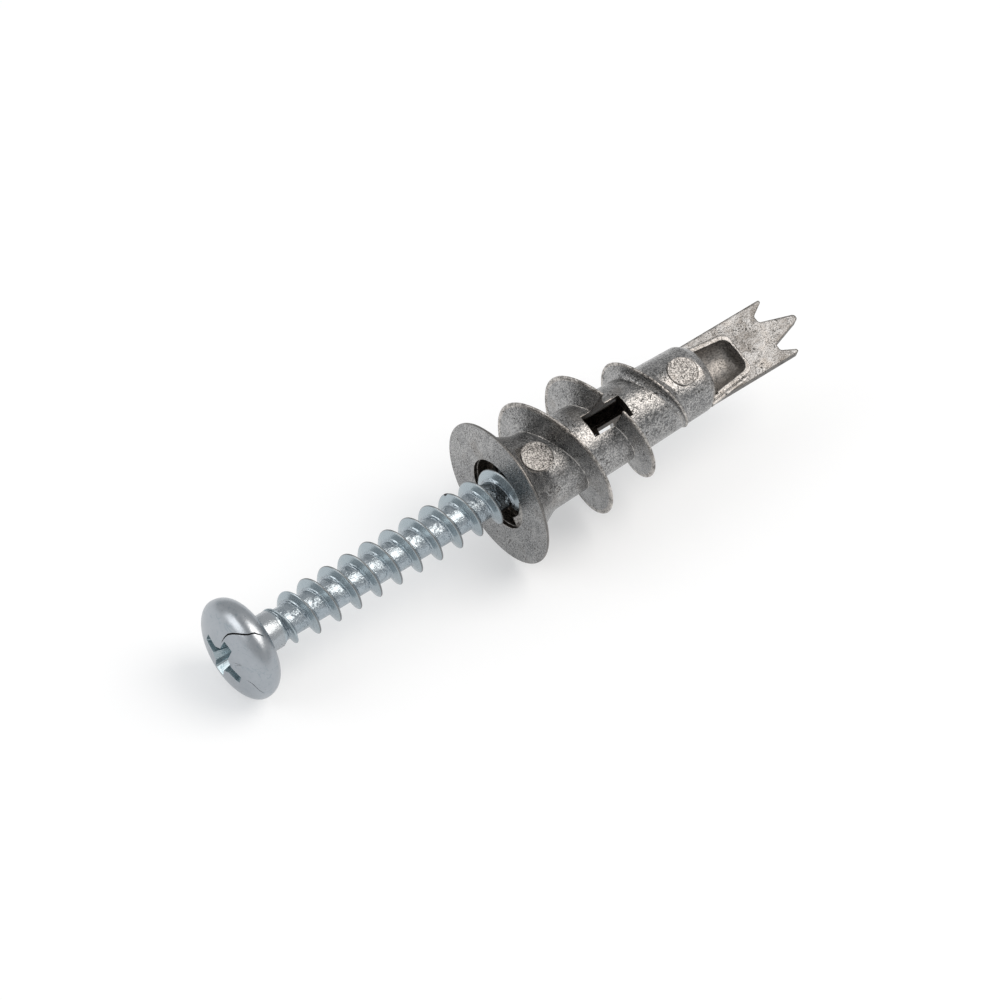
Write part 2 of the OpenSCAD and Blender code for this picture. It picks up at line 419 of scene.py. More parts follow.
@dataclass(frozen=True)
class FlangeSize:
    """The disc at the mouth and the flared collar behind it.

    A corner of the collar is (distance along the axis, radius, rounding).
    """

    diameter: float = 13.0
    rim: float = 0.16
    rim_round: float = 0.06
    back: tuple[float, float, float] = (0.42, 6.15, 0.15)
    collar_start: tuple[float, float, float] = (0.85, 5.0, 0.4)
    collar_middle: tuple[float, float, float] = (2.13, 4.12, 4.0)
    collar_end: float = 3.42
    collar_round: float = 2.5
    mouth_d: float = 6.4
    mouth_start: float = 0.1
    mouth_taper: float = 0.2


@dataclass(frozen=True)
class ShankSize:
    """The tapered round body with its rounded nose, and the lands and flutes of its bore.

    The long land is the one that comes up to the mouth.
    """

    front_d: float = 7.22
    nose_d: float = 6.0
    nose_end: float = 20.95
    nose_length: float = 0.75
    nose_step: float = 0.5
    nose_shoulder: float = 0.6
    nose_round: float = 0.3
    land_d: float = 4.7
    land_angle: float = 66
    long_land_at: float = 90
    long_land_depth: float = 0.35
    long_land_skin: float = 0.03
    long_land_end: float = 3.0
    mouth_depth: float = 1.3
    flute_d: float = 5.7
    flute_start: float = 0.5
    flute_short: float = 1.6
    flute_taper: float = 0.35
    flute_reach: float = 4.0
    flutes_at: tuple[float, ...] = (45, 135, 225, 315)


@dataclass(frozen=True)
class FlightSize:
    """The coarse thread that cuts into the board.

    It starts, runs full, starts to fade and ends at places in degrees round the axis. Its pitch leans
    once and swings twice in each turn, as a thread drawn from two die halves does. Its flanks flare
    into the shank, and a flank share is a height as a share of the whole.
    """

    diameter: float = 11.88
    pitch: float = 4.95
    place: float = 6.04
    lean: float = 0.34
    lean_at: float = 70
    swing: float = 0.26
    swing_at: float = 2.5
    crest: float = 0.2
    start: float = -215
    full: float = -150
    fade: float = 263
    end: float = 850
    fade_slope: float = 2.04
    fade_dive: float = 1.04
    dive_power: int = 6
    lowest: float = 0.02
    head_flare: float = 0.44
    tip_flare: float = 0.85
    flare_height: float = 0.9
    flare_power: float = 2.4
    flank_shares: tuple[float, ...] = (0, 0.06, 0.13, 0.22, 0.33, 0.46, 0.6, 0.75, 0.88)
    crest_bends: tuple[float, ...] = (0, 30, 60, 90)
    sink: float = 0.45
    turn_steps: int = 144


@dataclass(frozen=True)
class WindowSize:
    """The two slots through the wall."""

    width: float = 2.1
    length: float = 4.0
    front: float = 8.6
    back: float = 11.7


@dataclass(frozen=True)
class BladeSize:
    """The forked blade, the pocket and shell under it, and the lip round the pocket.

    The root of the blade, pocket, shell or lip is how far it runs back into the nose. The middle
    tooth's point is how far its corner would stand past the length if its tip weren't round. The side
    lip is the second ridge along one side of the pocket, from one share of the lip's width to another.
    """

    length: float = 31.6
    width: float = 5.62
    thickness: float = 0.8
    face_depth: float = 0.1
    root: float = 2.0
    outer_tooth: float = 29.86
    outer_slant: tuple[float, float] = (0.1, 0.28)
    outer_tip_r: float = 0.135
    notch_floor: float = 28.52
    notch_step: float = 0.02
    notch_width: float = 0.62
    notch_r: float = 0.3
    tooth_foot: float = 1.2
    tooth_tip_r: float = 0.33
    tooth_point: float = 0.782
    tooth_offset: float = 0.09
    pocket_root: float = 1.0
    pocket_offset: float = 0.15
    pocket_start_r: float = 2.22
    pocket_end_r: float = 1.6
    pocket_end: float = 25.27
    pocket_draft: float = 0.1
    corner: float = 0.85
    shell_root: float = 1.5
    shell_inset: float = 0.3
    shell_shoulder: float = 0.2
    shell_step: float = 0.48
    shell_round: float = 0.5
    shell_room: tuple[float, float] = (3.0, 9.0)
    wall: float = 0.57
    end_wall: float = 0.5
    lip: float = 0.34
    lip_root: float = 0.5
    lip_end: float = 0.15
    lip_height: float = 0.07
    side_lip: tuple[float, float] = (1.35, 2.0)
    side_lip_short: float = 0.6


@dataclass(frozen=True)
class PadSize:
    """A flat round pad that an ejector pin left, in a groove that opens outward."""

    along: float
    radius: float
    height: float
    depth: float = 0.6
    groove: float = 0.07
    groove_depth: float = 0.3
    flare: float = 0.6
    draft: float = 0.7
    room: float = 2.0
    sides: int = 64

    def ring(self, radius: float, height: float) -> np.ndarray:
        """Draws a circle round the pad's middle.

        Args:
            radius: its radius.
            height: how far it lies over the axis.

        Returns:
            Its points, as rows of x, y, z.
        """
        turn = np.radians(np.arange(self.sides) * 360 / self.sides)
        return np.column_stack([self.along + radius * np.cos(turn), radius * np.sin(turn),
                                np.full(self.sides, height)])

    def hollow(self) -> Solid:
        """Builds the room that the pin took up, with the groove round the pad.

        Returns:
            A closed solid to cut out of the casting.
        """
        foot = self.radius + self.groove
        mouth = foot + self.flare
        return Solid.sweep(np.stack([
            self.ring(foot, self.height - self.groove_depth),
            self.ring(foot, self.height),
            self.ring(mouth, self.height + self.draft),
            self.ring(mouth, self.height + self.room)]))

    def disc(self) -> Solid:
        """Returns the pad itself, sunk in the casting."""
        ends = (self.height - self.depth, self.height)
        return Solid.sweep(np.stack([self.ring(self.radius, end) for end in ends]), Skin.PAD)


@dataclass
class Casting:
    """The anchor: one zinc casting with flange, thread, windows, bore and drilling blade."""

    flange: FlangeSize = field(default_factory=FlangeSize)
    shank: ShankSize = field(default_factory=ShankSize)
    flight: FlightSize = field(default_factory=FlightSize)
    window: WindowSize = field(default_factory=WindowSize)
    blade: BladeSize = field(default_factory=BladeSize)
    pads: tuple[PadSize, ...] = (PadSize(3.2, 1.32, 3.6), PadSize(18.65, 1.28, 3.08))
    overrun: float = 1.0  # how far a cut runs past the face that it opens
    slip: float = 0.01  # what keeps the walls of two cuts apart
    reach: float = 5.0  # half the width of a block that takes in the whole shank
    wedge_steps: int = 9

    def shank_r(self, along: ArrayLike) -> ArrayLike:
        """Returns the shank's radius at a distance along it."""
        taper = (self.shank.front_d - self.shank.nose_d) / 2 / self.shank.nose_end
        return self.shank.front_d / 2 - taper * along

    def _body(self) -> Solid:
        """Turns the flange, the collar, the shank and its nose.

        Returns:
            One solid, without a bore.
        """
        flange_r, size, shank = self.flange.diameter / 2, self.flange, self.shank
        nose, end = shank.nose_end - shank.nose_length, shank.nose_end
        return Solid.lathe(rounded([
            (0, 0),
            (0, flange_r, size.rim_round),
            (size.rim, flange_r, size.rim_round),
            size.back,
            size.collar_start,
            size.collar_middle,
            (size.collar_end, self.shank_r(size.collar_end), size.collar_round),
            (nose, self.shank_r(nose), shank.nose_shoulder),
            (end, shank.nose_d / 2 - shank.nose_step, shank.nose_round),
            (end, 0),
        ]))

    def _flight_heights(self, angle: np.ndarray, along: np.ndarray) -> np.ndarray:
        """Works out how far the coarse thread stands off the shank.

        Args:
            angle: degrees round the axis, from the thread's start to its end.
            along: distance along the axis at each angle.

        Returns:
            The height at each angle: it grows in, runs full and fades out.
        """
        size = self.flight
        gone = np.clip((angle - size.fade) / (size.end - size.fade), 0, 1)
        grown = np.clip((angle - size.start) / (size.full - size.start), 0, 1)
        full = size.diameter / 2 - size.fade_slope * gone - size.fade_dive * gone ** size.dive_power
        return np.maximum((full - self.shank_r(along)) * np.sin(np.radians(90 * grown)), size.lowest)

    def _flight(self) -> Solid:
        """Sweeps the coarse thread round the shank.

        Returns:
            One solid that runs into the shank.
        """
        size = self.flight
        count = int((size.end - size.start) / 360 * size.turn_steps)
        angle = size.start + np.arange(count + 1) * 360 / size.turn_steps
        along = (size.place + size.pitch * angle / 360
                 + size.lean * np.sin(np.radians(angle - size.lean_at))
                 + size.swing * np.sin(np.radians(2 * angle - size.swing_at)))
        base = self.shank_r(along)
        tall = self._flight_heights(angle, along)
        flare = np.minimum(1, tall / size.flare_height)
        half = size.crest / 2
        shares = np.array(size.flank_shares)
        swell = (1 - shares) ** size.flare_power
        bend = np.radians(size.crest_bends)
        sides = []
        for sign, reach in ((-1, size.head_flare), (1, size.tip_flare)):
            foot = np.stack([along + sign * (half + reach * flare), base - size.sink], -1)
            flank = np.stack([
                along[:, None] + sign * (half + reach * flare[:, None] * swell),
                base[:, None] + (tall[:, None] - half) * shares - size.lowest * (shares == 0),
            ], -1)
            round_off = np.stack([
                along[:, None] + sign * half * np.cos(bend),
                base[:, None] + tall[:, None] - half + half * np.sin(bend),
            ], -1)
            sides.append(np.concatenate([foot[:, None], flank, round_off], 1))
        ring = np.concatenate([sides[0], sides[1][:, -2::-1]], 1)
        skins = np.full(ring.shape[1], Skin.OUTER)
        skins[len(shares):len(shares) + 2 * len(bend) - 1] = Skin.EDGE
        return Solid.sweep(on_axis(ring[..., 0], ring[..., 1], angle[:, None]), skins)

    def _blade(self) -> Solid:
        """Extrudes the forked blade, with its rough upper face.

        Returns:
            One solid that runs back into the nose.
        """
        size = self.blade
        half, notch, off = size.width / 2, size.notch_floor, size.tooth_offset
        back, inward = size.outer_slant
        start = self.shank.nose_end - size.root
        plan = rounded([
            (start, -half),
            (size.outer_tooth, -half, size.outer_tip_r),
            (size.outer_tooth - back, -half + inward, size.outer_tip_r),
            (notch - size.notch_step, -size.tooth_foot - size.notch_width + off / 2, size.notch_r),
            (notch, -size.tooth_foot + off, size.notch_r),
            (size.length + size.tooth_point, off, size.tooth_tip_r),
            (notch, size.tooth_foot + off, size.notch_r),
            (notch - size.notch_step, size.tooth_foot + size.notch_width + off, size.notch_r),
            (size.outer_tooth - back, half - inward, size.outer_tip_r),
            (size.outer_tooth, half, size.outer_tip_r),
            (start, half),
        ], closed=True)
        flat = [(x, -y) for x, y in plan]
        core = Solid.prism(flat, -size.thickness, -size.face_depth / 2, skin=Skin.SIDE)
        return core + Solid.prism(flat, -size.face_depth, 0, skin=Skin.ROUGH)

    def _pocket(self, extra: float = 0) -> Solid:
        """Turns the pocket that the bore runs out into.

        Args:
            extra: how much wider it is all round.

        Returns:
            A whole round, of which the lower half is the pocket.
        """
        size, start = self.blade, self.shank.nose_end - self.blade.pocket_root
        end = size.pocket_end + extra
        solid = Solid.lathe(rounded([
            (start, 0),
            (start, size.pocket_start_r + extra),
            (end - size.pocket_draft, size.pocket_end_r + extra, size.corner + extra / 2),
            (end, 0),
        ]), BORE_SIDES, Skin.POCKET)
        return solid.placed(Matrix.Translation((0, -size.pocket_offset, 0)))

    def _shell(self) -> Solid:
        """Turns the round-backed shell under the blade, without its pocket.

        Returns:
            The half under the blade's upper face.
        """
        size, start = self.blade, self.shank.nose_end
        before, after = size.shell_room
        inset = self.shank.nose_d / 2 - size.shell_inset
        end = size.pocket_end + size.end_wall
        outer = Solid.lathe(rounded([
            (start - size.shell_root, 0),
            (start - size.shell_root, inset),
            (start, inset),
            (size.pocket_end - size.shell_shoulder, size.pocket_end_r + size.wall, size.shell_round),
            (end, size.pocket_end_r - size.shell_step, size.shell_round),
            (end, 0),
        ]))
        low = (start - before, -self.reach, -self.reach)
        return outer & Solid.block(low, (start + after, self.reach, 0))

    def _lip(self) -> Solid:
        """Raises the lip round the pocket and the second ridge along one side of it.

        Returns:
            One solid, still filled where the pocket goes.
        """
        size, start = self.blade, self.shank.nose_end - self.blade.lip_root
        low = (start, -self.reach, -size.thickness / 2)
        end = size.pocket_end + size.lip_end
        ridge = self._pocket(size.lip) & Solid.block(low, (end, self.reach, size.lip_height))
        side = Solid.block(low, (size.pocket_end - size.side_lip_short, 0, size.lip_height))
        inner, outer = (share * size.lip for share in size.side_lip)
        ridge = ridge + (self._pocket(outer) & (side - self._pocket(inner)))
        return ridge.dressed(Skin.LIP)

    def _wedge(self, middle: float, width: float, radius: float, start: float,
               end: float) -> Solid:
        """Cuts a slice of a round bar on the axis.

        Args:
            middle: angle round the axis of its middle.
            width: its angle from side to side.
            radius: its reach from the axis.
            start: where it starts along the axis.
            end: where it ends.

        Returns:
            The slice, in the bore's skin.
        """
        edge = np.radians(np.linspace(middle - width / 2, middle + width / 2, self.wedge_steps))
        outline = [(0.0, 0.0), *zip(radius * np.cos(edge), radius * np.sin(edge))]
        return Solid.prism(outline, start, end, skin=Skin.INNER).along_axis()

    def _bore(self) -> Solid:
        """Builds the hollow of the mouth, the lands and the flutes.

        Returns:
            One solid to cut out of the casting, which leaves one land that comes up to the mouth.
        """
        size, mouth_r = self.shank, self.flange.mouth_d / 2
        inner_r, land_r = mouth_r - self.slip, size.land_d / 2
        depth = size.long_land_depth
        bore = Solid.plug(-self.overrun, mouth_r, depth - size.long_land_skin, mouth_r, Skin.INNER)
        bore = bore + Solid.plug(0, inner_r, depth, inner_r, Skin.EDGE)
        bore = bore + Solid.plug(0, land_r, size.nose_end + self.overrun / 2, land_r, Skin.INNER)
        mouth = Solid.plug(self.flange.mouth_start, inner_r, size.mouth_depth,
                           mouth_r - self.flange.mouth_taper, Skin.INNER)
        land = self._wedge(size.long_land_at, size.land_angle, self.reach, -self.overrun,
                           size.long_land_end)
        bore = bore + (mouth - land)
        start, end, flute_r = size.flute_start, size.nose_end - size.flute_short, size.flute_d / 2
        for middle in size.flutes_at:
            flute = self._wedge(middle, 90 - size.land_angle, size.flute_reach, start, end)
            bar = Solid.plug(start, flute_r, end, flute_r - size.flute_taper, Skin.INNER)
            bore = bore + (flute & bar)
        return bore

    def _windows(self) -> list[Solid]:
        """Builds the two slots: one on the blade's side, the other further along, opposite.

        Returns:
            Two solids to cut out of the casting.
        """
        size = self.window
        half, reach = size.width / 2, self.flight.diameter / 2 + self.overrun
        return [Solid.block((start, -half, low), (start + size.length, half, high), Skin.INNER)
                for start, low, high in ((size.front, 0, reach), (size.back, -reach, 0))]

    def solid(self) -> Solid:
        """Builds the whole casting.

        Returns:
            One closed solid in the pair's own axes.
        """
        casting = self._body() + self._flight() + self._blade() + self._shell() + self._lip()
        for pad in self.pads:
            casting = casting - pad.hollow() + pad.disc()
        for hollow in (self._bore(), self._pocket(), *self._windows()):
            casting = casting - hollow
        return casting

    def dress(self, pose: Matrix) -> bpy.types.Object:
        """Puts the casting in the scene, on the anchor's body.

        Args:
            pose: from the pair's own axes to the row frame.

        Returns:
            The piece.
        """
        anchor = self.solid().piece("anchor_casting", CASTING_FINISHES, pose)
        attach(anchor, "anchor")
        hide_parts("anchor_body")
        return anchor


# ---------------------------------------------------------------- the screw


@dataclass(frozen=True)
class HeadSize:
    """The pan head with its rolled edge, and the cross recess in its dome."""

    diameter: float = 9.0
    dome: float = 1.82
    dome_power: float = 2.1
    dome_steps: int = 32
    roll: float = 1.48
    roll_steps: int = 16
    recess_depth: float = 2.1
    recess_span: float = 4.9
    recess_taper: float = 0.42
    recess_round: float = 0.12
    recess_lift: float = 0.01
    wing: float = 1.12
    recess_middle: float = 1.66


@dataclass(frozen=True)
class ThreadSize:
    """The screw's neck, core and sharp thread.

    Distances run from under the head, and the last of them, out, is how far the head's underside
    stands in front of the flange's face. A crest step is (share of the crest's half width, drop).
    """

    length: float = 35.2
    diameter: float = 4.5
    core: float = 2.74
    neck: float = 3.3
    neck_fillet: float = 0.15
    neck_taper: float = 0.5
    pitch: float = 2.07
    start: float = 1.9
    run_in: float = 1.6
    tip: float = 4.2
    tip_r: float = 0.06
    core_lag: float = 0.4
    thread_short: float = 0.45
    point_crest: float = 0.12
    point_root: float = 0.05
    crest: float = 0.12
    crest_steps: tuple[tuple[float, float], ...] = ((0.8, 0.02), (0.3, 0.0))
    root: float = 0.8
    root_spread: float = 0.05
    root_dip: float = 0.02
    sink: float = 0.3
    sink_share: float = 0.6
    flank_heights: tuple[float, ...] = (0.08, 0.2, 0.82, 0.92)
    phase: float = 0.81
    turn_steps: int = 90
    out: float = 24.86


@dataclass(frozen=True)
class FoldMark:
    """A fold that heading left in the screw's head, as (radius, angle) points over the dome.

    It is a groove of three sides, of which the open one is lifted clear of the surface.
    """

    path: tuple[tuple[float, float], ...]
    width: float
    depth: float
    lift: float = 0.05
    fineness: int = 6
    blunt: float = 0.04
    probe: float = 0.01

    def line(self) -> tuple[np.ndarray, np.ndarray]:
        """Fills the path in.

        Returns:
            The radii and the angles of closely set points along the mark.
        """
        points = np.array(self.path)
        number = np.arange(len(points))
        fine = np.linspace(0, len(points) - 1, self.fineness * len(points))
        reach, angle = (np.interp(fine, number, values) for values in points.T)
        return reach, angle


@dataclass
class PanScrew:
    """The screw: pan head, plain neck, sharp thread and tapered point."""

    head: HeadSize = field(default_factory=HeadSize)
    thread: ThreadSize = field(default_factory=ThreadSize)
    folds: tuple[FoldMark, ...] = (
        FoldMark(((2.0, -20), (2.8, -14.2), (3.2, -11), (3.6, -5.4), (3.95, 0.5), (4.35, 7.5),
                  (4.75, 13), (5.2, 18)), 0.19, 0.18),
        FoldMark(((2.85, 73.6), (3.38, 76), (3.8, 82.4), (4.25, 89)), 0.10, 0.07),
        FoldMark(((1.7, 39.4), (2.7, 42.8)), 0.06, 0.04),
        FoldMark(((1.8, 47.5), (2.7, 43)), 0.06, 0.04),
    )

    @property
    def widest(self) -> float:
        """Where the head is widest, in front of the flange's face."""
        return self.thread.out + self.head.roll

    @property
    def front(self) -> float:
        """Where the dome's top lies, in front of the flange's face."""
        return self.widest + self.head.dome

    def _dome(self, share: float) -> float:
        """Returns the dome's height at a share of the head's radius."""
        power = self.head.dome_power
        return self.head.dome * max(0.0, 1 - share ** power) ** (1 / power)

    def _core(self) -> Solid:
        """Turns the head, the neck and the core of the thread.

        Returns:
            One solid, without a recess.
        """
        head, thread = self.head, self.thread
        head_r, roll, out = head.diameter / 2, head.roll, thread.out
        tip, neck_end = thread.length - out, thread.start - out
        neck_r, core_r = thread.neck / 2, thread.core / 2
        outline = [(-self.front, 0.0)]
        for i in range(1, head.dome_steps + 1):
            share = math.sin(math.radians(90 * i / head.dome_steps))
            outline.append((-self.widest - self._dome(share), head_r * share))
        for i in range(1, head.roll_steps + 1):
            turn = math.radians(90 * i / head.roll_steps)
            outline.append((-self.widest + roll * math.sin(turn),
                            head_r - roll * (1 - math.cos(turn))))
        outline += [(-out, neck_r + thread.neck_fillet), (-out + thread.neck_fillet, neck_r),
                    (neck_end, neck_r), (neck_end + thread.neck_taper, core_r),
                    (tip - thread.tip + thread.core_lag, core_r), (tip, thread.tip_r), (tip, 0)]
        return Solid.lathe(outline)

    def _crest_and_root(self, down: np.ndarray) -> tuple[np.ndarray, np.ndarray]:
        """Works out how far the thread reaches.

        Args:
            down: distances from under the head.

        Returns:
            The radii of its crest and of its root there, as columns.
        """
        size = self.thread
        grown = np.clip((down - size.start) / (size.run_in * size.pitch), 0, 1)
        left = size.length - down
        neck_r, full_r, core_r = size.neck / 2, size.diameter / 2, size.core / 2
        top = np.minimum(neck_r + (full_r - neck_r) * np.sin(np.radians(90 * grown)),
                         size.point_crest + left * full_r / size.tip)
        root = np.minimum(core_r, size.point_root + left * core_r / (size.tip - size.core_lag))
        return top[:, None], root[:, None]

    def _thread(self) -> Solid:
        """Sweeps the sharp thread round the core.

        Returns:
            One solid that runs into the core.
        """
        size = self.thread
        step = size.pitch / size.turn_steps
        count = int((size.length - size.start - size.thread_short) / step)
        down = size.start + np.arange(count + 1) * step
        angle = 360 * (down / size.pitch + size.phase)
        along = (down - size.out)[:, None]
        top, root = self._crest_and_root(down)
        share = np.minimum(1, (top - root) / (size.diameter / 2 - size.core / 2))
        foot = (size.root * share + size.crest) / 2
        half = size.crest / 2
        sunk = root - np.minimum(size.sink, size.sink_share * root)
        steps = [(-foot - size.root_spread, sunk), (-foot - size.root_spread, root - size.root_dip)]
        for height in size.flank_heights:
            steps.append((-half - (foot - half) * (1 - height), root + (top - root) * height))
        steps += [(-half * width, top - drop) for width, drop in size.crest_steps]
        steps += [(-x, r) for x, r in reversed(steps)]
        ring = np.stack([np.concatenate([along + x for x, _ in steps], 1),
                         np.concatenate([r + 0 * along for _, r in steps], 1)], -1)
        return Solid.sweep(on_axis(ring[..., 0], ring[..., 1], angle[:, None]))

    def _recess(self) -> list[Solid]:
        """Builds the cross recess: two tapered bars and a tapered square between them.

        Returns:
            Three solids to cut out of the head.
        """
        size = self.head
        half, wing, middle = size.recess_span / 2, size.wing / 2, size.recess_middle
        place = Matrix.Translation((-self.front - size.recess_lift, 0, 0))
        flats = [rounded([(x, y, size.recess_round) for x, y in ((-a, -b), (a, -b), (a, b), (-a, b))],
                         True, 4)
                 for a, b in ((half, wing), (wing, half))]
        flats.append([(middle, 0), (0, middle), (-middle, 0), (0, -middle)])
        cuts = [Solid.prism(flat, 0, size.recess_depth, size.recess_taper, Skin.INNER)
                for flat in flats]
        return [cut.along_axis().placed(place) for cut in cuts]

    def _over_head(self, reach: np.ndarray, angle: np.ndarray) -> np.ndarray:
        """Places points on the head's surface.

        Args:
            reach: distance from the axis, which runs on past the rim down the rolled edge.
            angle: degrees round the axis.

        Returns:
            The points, as rows of x, y, z.
        """
        head_r, roll = self.head.diameter / 2, self.head.roll
        turn = np.maximum(reach - head_r, 0) / roll
        dome = np.array([self._dome(min(1.0, r / head_r)) for r in reach])
        return on_axis(-self.widest - dome + roll * np.sin(turn),
                       np.minimum(reach, head_r) - roll * (1 - np.cos(turn)), angle)

    def _fold(self, mark: FoldMark) -> Solid:
        """Sweeps a three-sided groove along a mark, with pointed ends.

        Args:
            mark: the fold, crack or tick.

        Returns:
            A closed solid to cut out of the head.
        """
        reach, angle = mark.line()
        line = self._over_head(reach, angle)
        forward = np.gradient(line, axis=0)
        forward /= np.linalg.norm(forward, axis=1)[:, None]
        outward = self._over_head(reach + mark.probe, angle)
        outward = outward - self._over_head(reach - mark.probe, angle)
        out = np.cross(outward, on_axis(0 * angle, 1 + 0 * angle, angle + 90))
        out /= -np.linalg.norm(out, axis=1)[:, None]
        side = np.cross(forward, out)
        taper = np.sin(np.pi * np.linspace(mark.blunt, 1 - mark.blunt, len(reach)))[:, None] ** 0.5
        wide = side * mark.width / 2 * taper
        ring = np.stack([line + wide + out * mark.lift, line - wide + out * mark.lift,
                         line - out * mark.depth * taper], 1)
        return Solid.sweep(ring, Skin.ROUGH)

    def solid(self) -> Solid:
        """Builds the whole screw.

        Returns:
            One closed solid in the pair's own axes.
        """
        screw = self._core() + self._thread()
        for hollow in (*self._recess(), *(self._fold(mark) for mark in self.folds)):
            screw = screw - hollow
        return screw

    def dress(self, pose: Matrix) -> bpy.types.Object:
        """Puts the screw in the scene, on the body that slides.

        Args:
            pose: from the pair's own axes to the row frame.

        Returns:
            The piece.
        """
        screw = self.solid().piece("pan_screw", SCREW_FINISHES, pose)
        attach(screw, "drive_screw")
        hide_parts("screw")
        return screw


# ---------------------------------------------------------------- shader maths


Colour = tuple[float, float, float, float]
Range = tuple[float, float]
Value = "Socket | float | Sequence[float]"


def grey(level: float, warm: float = 0.0) -> Colour:
    """Returns a grey that leans to warm, or to blue where warm is below 0."""
    return (level * (1 + warm), level, level * (1 - warm), 1.0)


@dataclass(frozen=True)
class Cells:
    """A noise: so many cells a millimetre, and how finely and unevenly they are broken up."""

    scale: float
    detail: float = 2
    roughness: float = 0.5
    distortion: float = 0.0
    stretch: tuple[float, float, float] | None = None


class Socket:
    """A node's output, with arithmetic that adds the nodes for it."""

    def __init__(self, graph: "Graph", link: bpy.types.NodeSocket) -> None:
        """Keeps the output and the graph that it is in."""
        self.graph, self.link = graph, link

    def _math(self, operation: str, *values: Value, clamp: bool = False) -> "Socket":
        """Returns the result of a Math node."""
        settings = {"operation": operation, "use_clamp": clamp}
        return self.graph.node("ShaderNodeMath", settings, dict(enumerate(values)))

    def __add__(self, other: Value) -> "Socket":
        """Returns self + other."""
        return self._math("ADD", self, other)

    __radd__ = __add__

    def __sub__(self, other: Value) -> "Socket":
        """Returns self - other."""
        return self._math("SUBTRACT", self, other)

    def __rsub__(self, other: Value) -> "Socket":
        """Returns other - self."""
        return self._math("SUBTRACT", other, self)

    def __mul__(self, other: Value) -> "Socket":
        """Returns self * other."""
        return self._math("MULTIPLY", self, other)

    __rmul__ = __mul__

    def __abs__(self) -> "Socket":
        """Returns the value without its sign."""
        return self._math("ABSOLUTE", self)

    def clamped(self) -> "Socket":
        """Returns the value kept from 0 to 1."""
        return self._math("ADD", self, 0.0, clamp=True)

    def rise(self, low: float, high: float) -> "Socket":
        """Steps smoothly from 0 to 1.

        Args:
            low: the value where the step is 0.
            high: the value where the step is 1, which may be the smaller.

        Returns:
            The step.
        """
        values = {"Value": self, "From Min": low, "From Max": high, "To Min": 0.0, "To Max": 1.0}
        if low > high:
            values.update({"From Min": high, "From Max": low, "To Min": 1.0, "To Max": 0.0})
        return self.graph.node("ShaderNodeMapRange", {"interpolation_type": "SMOOTHSTEP"}, values)

    def between(self, low: float, high: float) -> "Socket":
        """Returns the value, from 0 to 1, spread from low to high."""
        return self * (high - low) + low

    def centred(self) -> "Socket":
        """Returns how far a value from 0 to 1 stands above its middle."""
        return self - 0.5


class Graph:
    """The node tree of one material or world."""

    def __init__(self, tree: bpy.types.NodeTree) -> None:
        """Empties the tree and keeps it."""
        tree.nodes.clear()
        self.tree = tree

    @staticmethod
    def _find(sockets: bpy.types.bpy_prop_collection, key: str | int) -> bpy.types.NodeSocket:
        """Finds a node's socket.

        Args:
            sockets: the node's inputs or outputs.
            key: name, identifier or number of the socket.

        Returns:
            The socket, the one in use where several share a name.
        """
        if isinstance(key, int):
            return sockets[key]
        return next(s for s in sockets if s.enabled and key in (s.name, s.identifier))

    def node(self, kind: str, settings: dict | None = None, inputs: dict | None = None,
             output: str | int = 0) -> Socket | None:
        """Adds a node.

        Args:
            kind: its type.
            settings: its own settings, set before its sockets.
            inputs: a value or a Socket for each input, by name or number.
            output: which output to return, by name or number.

        Returns:
            That output, or None if the node has none.
        """
        made = self.tree.nodes.new(kind)
        for name, value in (settings or {}).items():
            setattr(made, name, value)
        for key, value in (inputs or {}).items():
            target = self._find(made.inputs, key)
            if isinstance(value, Socket):
                self.tree.links.new(value.link, target)
            else:
                target.default_value = value
        return Socket(self, self._find(made.outputs, output)) if len(made.outputs) else None

    def mix(self, factor: Value, first: Value, second: Value) -> Socket:
        """Mixes two colours.

        Args:
            factor: how much of the second there is, from 0 to 1.
            first: the first colour.
            second: the second colour.

        Returns:
            The mix.
        """
        return self.node("ShaderNodeMix", {"data_type": "RGBA"},
                         {"Factor_Float": factor, "A_Color": first, "B_Color": second},
                         "Result_Color")

    def vector(self, operation: str, *values: Value, output: str | int = 0) -> Socket:
        """Returns the result of a vector operation."""
        return self.node("ShaderNodeVectorMath", {"operation": operation},
                         dict(enumerate(values)), output)


